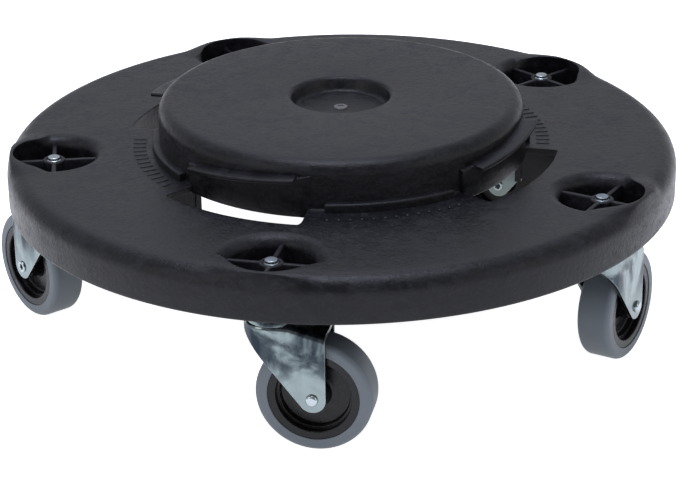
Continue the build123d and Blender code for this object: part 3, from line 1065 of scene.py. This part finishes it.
def make_bosses(deck):
    """Bosses and cross ribs in the pockets, that hold the caster stems."""
    bm = bmesh.new()
    skirt = deck.skirt_z
    place = (deck.pocket_circle, 0)
    reach = 2 * (deck.pocket_radius + 0.0012)
    for length, width in ((reach, RIB), (RIB, reach)):
        rib = bar(bm, length, width, skirt + 0.004, skirt + 0.0265, place)
        bevel_upper(bm, rib, skirt + 0.02, 0.0005, 2)
    boss_outline = [
        (0.0052, skirt + 0.004),
        (0.0083, skirt + 0.004),
        (0.0078, skirt + 0.027),
        (0.0052, skirt + 0.027),
    ]
    ring = bmesh.new()
    edges = turned_outline(ring, boss_outline, [(2, 0.0009, 3), (3, 0.0005, 2)])
    spin_round(ring, edges, 72)
    bmesh.ops.translate(ring, verts=ring.verts, vec=(*place, 0))
    pour(ring, bm)
    repeat_round(bm, len(PLACES), POCKET_START)
    made = to_object(bm, "caster_bosses")
    shade(made)
    return made


class DOLLY_OT_deck(Operator):
    """Builds the deck moulding with its slots, pockets, lugs and curbs"""

    bl_idname = "dolly.deck"
    bl_label = "Deck moulding"

    def execute(self, context):
        deck = context.scene.dolly_deck
        moulding = make_shell(deck)
        cut_or_join(moulding, make_pocket_wall(deck), "UNION")
        cut_or_join(moulding, make_pocket_tool(deck), "DIFFERENCE")
        cut_or_join(moulding, make_slot_tool(deck), "DIFFERENCE")
        cut_or_join(moulding, make_window_tool(deck), "DIFFERENCE")
        shade(moulding)
        dress(moulding, deck_plastic(), "deck")
        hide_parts("deck")
        for piece in (make_lugs(deck), make_curbs(deck), make_bosses(deck)):
            dress(piece, deck_plastic(), "deck")
        return {"FINISHED"}


class DOLLY_OT_ribs(Operator):
    """Builds the ribs and rings under the deck and inside the hub"""

    bl_idname = "dolly.ribs"
    bl_label = "Ribs under the deck"

    def execute(self, context):
        deck = context.scene.dolly_deck
        skirt = deck.skirt_z
        under = skirt + deck.plate - deck.wall + BITE
        foot = skirt + 0.008
        bm = bmesh.new()
        bar(bm, 0.0741, RIB, foot, under, (0.1905, 0))
        repeat_round(bm, 36, math.radians(5.2))
        rim = to_object(bm, "rim_ribs")
        bm = bmesh.new()
        drum(bm, deck.pocket_radius + 0.002, skirt, under + 0.01, (deck.pocket_circle, 0))
        repeat_round(bm, len(PLACES), POCKET_START)
        cut_or_join(rim, to_object(bm, "rib_trim_tool"), "DIFFERENCE")
        shade(rim)
        bm = bmesh.new()
        outline = [(0.1525, foot), (0.1555, foot), (0.1555, under), (0.1525, under)]
        spin_round(bm, turned_outline(bm, outline, []), 240)
        ring = to_object(bm, "slot_ring_rib")
        shade(ring)
        bm = bmesh.new()
        for side in (-1, 1):
            turn = Matrix.Rotation(side * math.radians(21.2), 3, "Z")
            made = bar(bm, 0.0295, RIB, foot, under, (0.1393, 0))
            bmesh.ops.rotate(bm, verts=made, cent=(0, 0, 0), matrix=turn)
        repeat_round(bm, SLOT_COUNT, SLOT_START)
        ends = to_object(bm, "slot_end_ribs")
        shade(ends)
        hub_foot = skirt + 0.034
        roof = skirt + deck.hub_height - deck.wall + BITE
        bm = bmesh.new()
        bar(bm, 0.1095, RIB, hub_foot, roof, (0.0675, 0))
        repeat_round(bm, 16, 0.0)
        spokes = to_object(bm, "hub_ribs")
        bm = bmesh.new()
        low = skirt + deck.hub_height - deck.recess_depth - deck.wall + 0.0005
        drum(bm, deck.recess_radius + 0.0035, low, roof + 0.02, (0, 0))
        cut_or_join(spokes, to_object(bm, "recess_trim_tool"), "DIFFERENCE")
        shade(spokes)
        bm = bmesh.new()
        for inner, outer, high in (
            (0.068, 0.071, roof),
            (0.011, 0.014, low + 0.001),
        ):
            band = [(inner, hub_foot), (outer, hub_foot), (outer, high), (inner, high)]
            part = bmesh.new()
            spin_round(part, turned_outline(part, band, []), 144)
            pour(part, bm)
        rings = to_object(bm, "hub_rings")
        shade(rings)
        for piece in (rim, ring, ends, spokes, rings):
            dress(piece, deck_plastic(), "deck")
        return {"FINISHED"}


class DOLLY_OT_marks(Operator):
    """Builds the grip beads, the grip ticks and the gate mark"""

    bl_idname = "dolly.marks"
    bl_label = "Grip marks"

    def execute(self, context):
        deck = context.scene.dolly_deck
        plate = deck.skirt_z + deck.plate
        tick = (0.009, 0.0013, plate - 0.001, plate + 0.0005, (0.140, 0))
        for name, centres in MARK_ROWS.items():
            bm = bmesh.new()
            for centre in centres:
                for index in range(MARK_COUNT):
                    if name == "grip_beads":
                        made = bmesh.ops.create_uvsphere(
                            bm, u_segments=14, v_segments=8, radius=0.0015
                        )["verts"]
                        bmesh.ops.translate(bm, verts=made, vec=(0.1431, 0, plate))
                    else:
                        made = bar(bm, *tick)
                    place = index - MARK_COUNT // 2
                    turn = math.radians(centre + place * MARK_PITCH)
                    bmesh.ops.rotate(
                        bm,
                        verts=made,
                        cent=(0, 0, 0),
                        matrix=Matrix.Rotation(turn, 3, "Z"),
                    )
            if name == "grip_ticks":
                bevel_upper(bm, bm.verts[:], plate, 0.0003, 2)
            piece = to_object(bm, name)
            shade(piece)
            dress(piece, deck_plastic(), "deck")
        floor = deck.skirt_z + deck.hub_height - deck.recess_depth
        bm = bmesh.new()
        outline = [
            (0.0, floor + 0.0002),
            (0.0020, floor + 0.0002),
            (0.0022, floor + 0.0009),
            (0.0048, floor + 0.0008),
            (0.0052, floor - 0.0010),
            (0.0, floor - 0.0010),
        ]
        spin_round(bm, turned_outline(bm, outline, [(3, 0.0004, 2)]), 64)
        gate = to_object(bm, "gate_mark")
        shade(gate)
        finish = finish_material(
            "gate_mark_skin",
            "mould_skin",
            0.0003,
            {
                "Body": (0.055, 0.055, 0.055, 1),
                "Bloom": (0.16, 0.16, 0.16, 1),
                "Cloud": 0.9,
                "Grain": 0.00006,
                "Gloss": 0.5,
                "Matt": 0.7,
            },
            {"Specular IOR Level": 0.5},
        )
        dress(gate, finish, "deck")
        return {"FINISHED"}


def rounded_view():
    """Geometry nodes that merge a CAD node's loose triangles and shade them smooth."""
    found = bpy.data.node_groups.get("rounded_view")
    if found:
        return found
    tree = bpy.data.node_groups.new("rounded_view", "GeometryNodeTree")
    tree.is_modifier = True
    for way in ("INPUT", "OUTPUT"):
        tree.interface.new_socket(
            "Geometry", in_out=way, socket_type="NodeSocketGeometry"
        )
    source = tree.nodes.new("NodeGroupInput")
    target = tree.nodes.new("NodeGroupOutput")
    merge = node(tree, "GeometryNodeMergeByDistance", Distance=0.000002)
    faces = node(tree, "GeometryNodeSetShadeSmooth", domain="FACE")
    edges = node(tree, "GeometryNodeSetShadeSmooth", domain="EDGE")
    angle = tree.nodes.new("GeometryNodeInputMeshEdgeAngle")
    sharp = node(tree, "FunctionNodeCompare", data_type="FLOAT", operation="LESS_THAN")
    sharp.inputs["B"].default_value = math.radians(26)
    tree.links.new(source.outputs[0], merge.inputs["Geometry"])
    tree.links.new(merge.outputs["Geometry"], faces.inputs["Geometry"])
    tree.links.new(faces.outputs["Geometry"], edges.inputs["Geometry"])
    tree.links.new(angle.outputs["Unsigned Angle"], sharp.inputs["A"])
    tree.links.new(sharp.outputs["Result"], edges.inputs["Shade Smooth"])
    tree.links.new(edges.outputs["Geometry"], target.inputs[0])
    return tree


def finish_nodes(stems, material):
    """Gives the CAD nodes of all five casters with these names one finish."""
    for stem in stems:
        for place in PLACES:
            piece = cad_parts[f"{stem}_{place}"]
            piece.data.materials.clear()
            piece.data.materials.append(material)
            step = piece.modifiers.new("rounded view", "NODES")
            step.node_group = rounded_view()


class DOLLY_OT_casters(Operator):
    """Finishes the forks, stems, races, balls and axles"""

    bl_idname = "dolly.casters"
    bl_label = "Casters"

    def execute(self, context):
        finish_nodes(("fork",), fork_zinc())
        finish_nodes(
            ("stem", "upper_race", "lower_race", "axle_rivet", "axle_sleeve"),
            bright_zinc(),
        )
        finish_nodes(("upper_balls", "lower_balls"), ball_steel())
        return {"FINISHED"}


class DOLLY_OT_wheels(Operator):
    """Finishes the wheel centres and their treads"""

    bl_idname = "dolly.wheels"
    bl_label = "Wheels"

    def execute(self, context):
        finish_nodes(("wheel_core",), wheel_plastic())
        finish_nodes(("tread",), tread_rubber())
        return {"FINISHED"}


class DOLLY_OT_stage(Operator):
    """Sets the floor, the lamps and the camera"""

    bl_idname = "dolly.stage"
    bl_label = "Stage"

    def execute(self, context):
        scene = context.scene
        stage = scene.dolly_stage
        bm = bmesh.new()
        bmesh.ops.create_grid(bm, x_segments=1, y_segments=1, size=12)
        floor = to_object(bm, "floor")
        material = bpy.data.materials.new("pale_floor")
        material.use_nodes = True
        shader = material.node_tree.nodes["Principled BSDF"]
        shader.inputs["Base Color"].default_value = solid(stage.floor)
        shader.inputs["Roughness"].default_value = 0.65
        shader.inputs["Specular IOR Level"].default_value = 0.2
        shader.inputs["Emission Color"].default_value = (1, 1, 1, 1)
        tree = material.node_tree
        seen = tree.nodes.new("ShaderNodeLightPath").outputs["Is Camera Ray"]
        glow = maths(tree, "MULTIPLY", seen, FLOOR_GLOW_SEEN)
        glow = maths(tree, "ADD", glow, FLOOR_GLOW)
        tree.links.new(glow, shader.inputs["Emission Strength"])
        floor.data.materials.append(material)

        world = bpy.data.worlds.new("studio")
        world.use_nodes = True
        tree = world.node_tree
        background = tree.nodes["Background"]
        direction = tree.nodes.new("ShaderNodeTexCoord")
        split = tree.nodes.new("ShaderNodeSeparateXYZ")
        tree.links.new(direction.outputs["Generated"], split.inputs[0])
        towards_back = ramp(
            tree, split.outputs["Y"], -0.75, -0.15, SKY_SHARE_IN_FRONT, 1.0
        )
        sky = blended(tree, towards_back, (0, 0, 0, 1), SKY)
        tree.links.new(sky, background.inputs["Color"])
        background.inputs["Strength"].default_value = 0.66
        scene.world = world

        aim = Vector((0.0, 0.0, 0.1))
        lamps = (
            ("overhead", (-0.1, -0.30, 1.9), 1.1, 1.0, 27.0, COOL),
            ("left_front", (-1.7, -1.5, 1.0), 1.0, 1.2, 8.5, NEUTRAL),
            ("right_front", (1.9, -1.3, 0.9), 0.8, 1.2, 6.0, NEUTRAL),
            ("high_behind", (-0.3, 1.5, 2.3), 1.6, 0.8, 9.0, COOL),
        )
        for name, place, width, height, power, colour in lamps:
            light = bpy.data.lights.new(name, "AREA")
            light.shape = "RECTANGLE"
            light.size = width
            light.size_y = height
            light.energy = power
            light.color = colour
            lamp = bpy.data.objects.new(name, light)
            lamp.location = place
            aim_line = aim - Vector(place)
            lamp.rotation_euler = aim_line.to_track_quat("-Z", "Y").to_euler()
            scene.collection.objects.link(lamp)

        data = bpy.data.cameras.new("camera")
        data.sensor_width = 36
        data.lens = stage.lens
        data.clip_start = 0.05
        data.clip_end = 60
        camera = bpy.data.objects.new("camera", data)
        camera.location = stage.camera_place
        camera.rotation_euler = stage.camera_turn
        scene.collection.objects.link(camera)
        scene.camera = camera
        scene.view_settings.view_transform = "Standard"
        return {"FINISHED"}


class DOLLY_PT_pieces(Panel):
    """Lists the dolly's pieces and settings"""

    bl_idname = "DOLLY_PT_pieces"
    bl_label = "Bin dolly"
    bl_space_type = "VIEW_3D"
    bl_region_type = "UI"
    bl_category = "Dolly"

    def draw(self, context):
        layout = self.layout
        for operator in OPERATORS:
            layout.operator(operator.bl_idname)
        for settings in ("dolly_deck", "dolly_finish", "dolly_stage"):
            box = layout.box()
            group = getattr(context.scene, settings)
            for name in group.__annotations__:
                box.prop(group, name)


OPERATORS = (
    DOLLY_OT_deck,
    DOLLY_OT_ribs,
    DOLLY_OT_marks,
    DOLLY_OT_casters,
    DOLLY_OT_wheels,
    DOLLY_OT_stage,
)
CLASSES = (
    DollyDeckSettings,
    DollyFinishSettings,
    DollyStageSettings,
    *OPERATORS,
    DOLLY_PT_pieces,
)


def register():
    """Registers the classes and the scene's settings."""
    for item in CLASSES:
        bpy.utils.register_class(item)
    bpy.types.Scene.dolly_deck = PointerProperty(type=DollyDeckSettings)
    bpy.types.Scene.dolly_finish = PointerProperty(type=DollyFinishSettings)
    bpy.types.Scene.dolly_stage = PointerProperty(type=DollyStageSettings)


def unregister():
    """Takes the settings and the classes away again."""
    del bpy.types.Scene.dolly_stage
    del bpy.types.Scene.dolly_finish
    del bpy.types.Scene.dolly_deck
    for item in reversed(CLASSES):
        bpy.utils.unregister_class(item)


def main():
    """Builds every piece in order."""
    register()
    bpy.ops.dolly.deck()
    bpy.ops.dolly.ribs()
    bpy.ops.dolly.marks()
    bpy.ops.dolly.casters()
    bpy.ops.dolly.wheels()
    bpy.ops.dolly.stage()


if __name__ == "__main__":
    main()
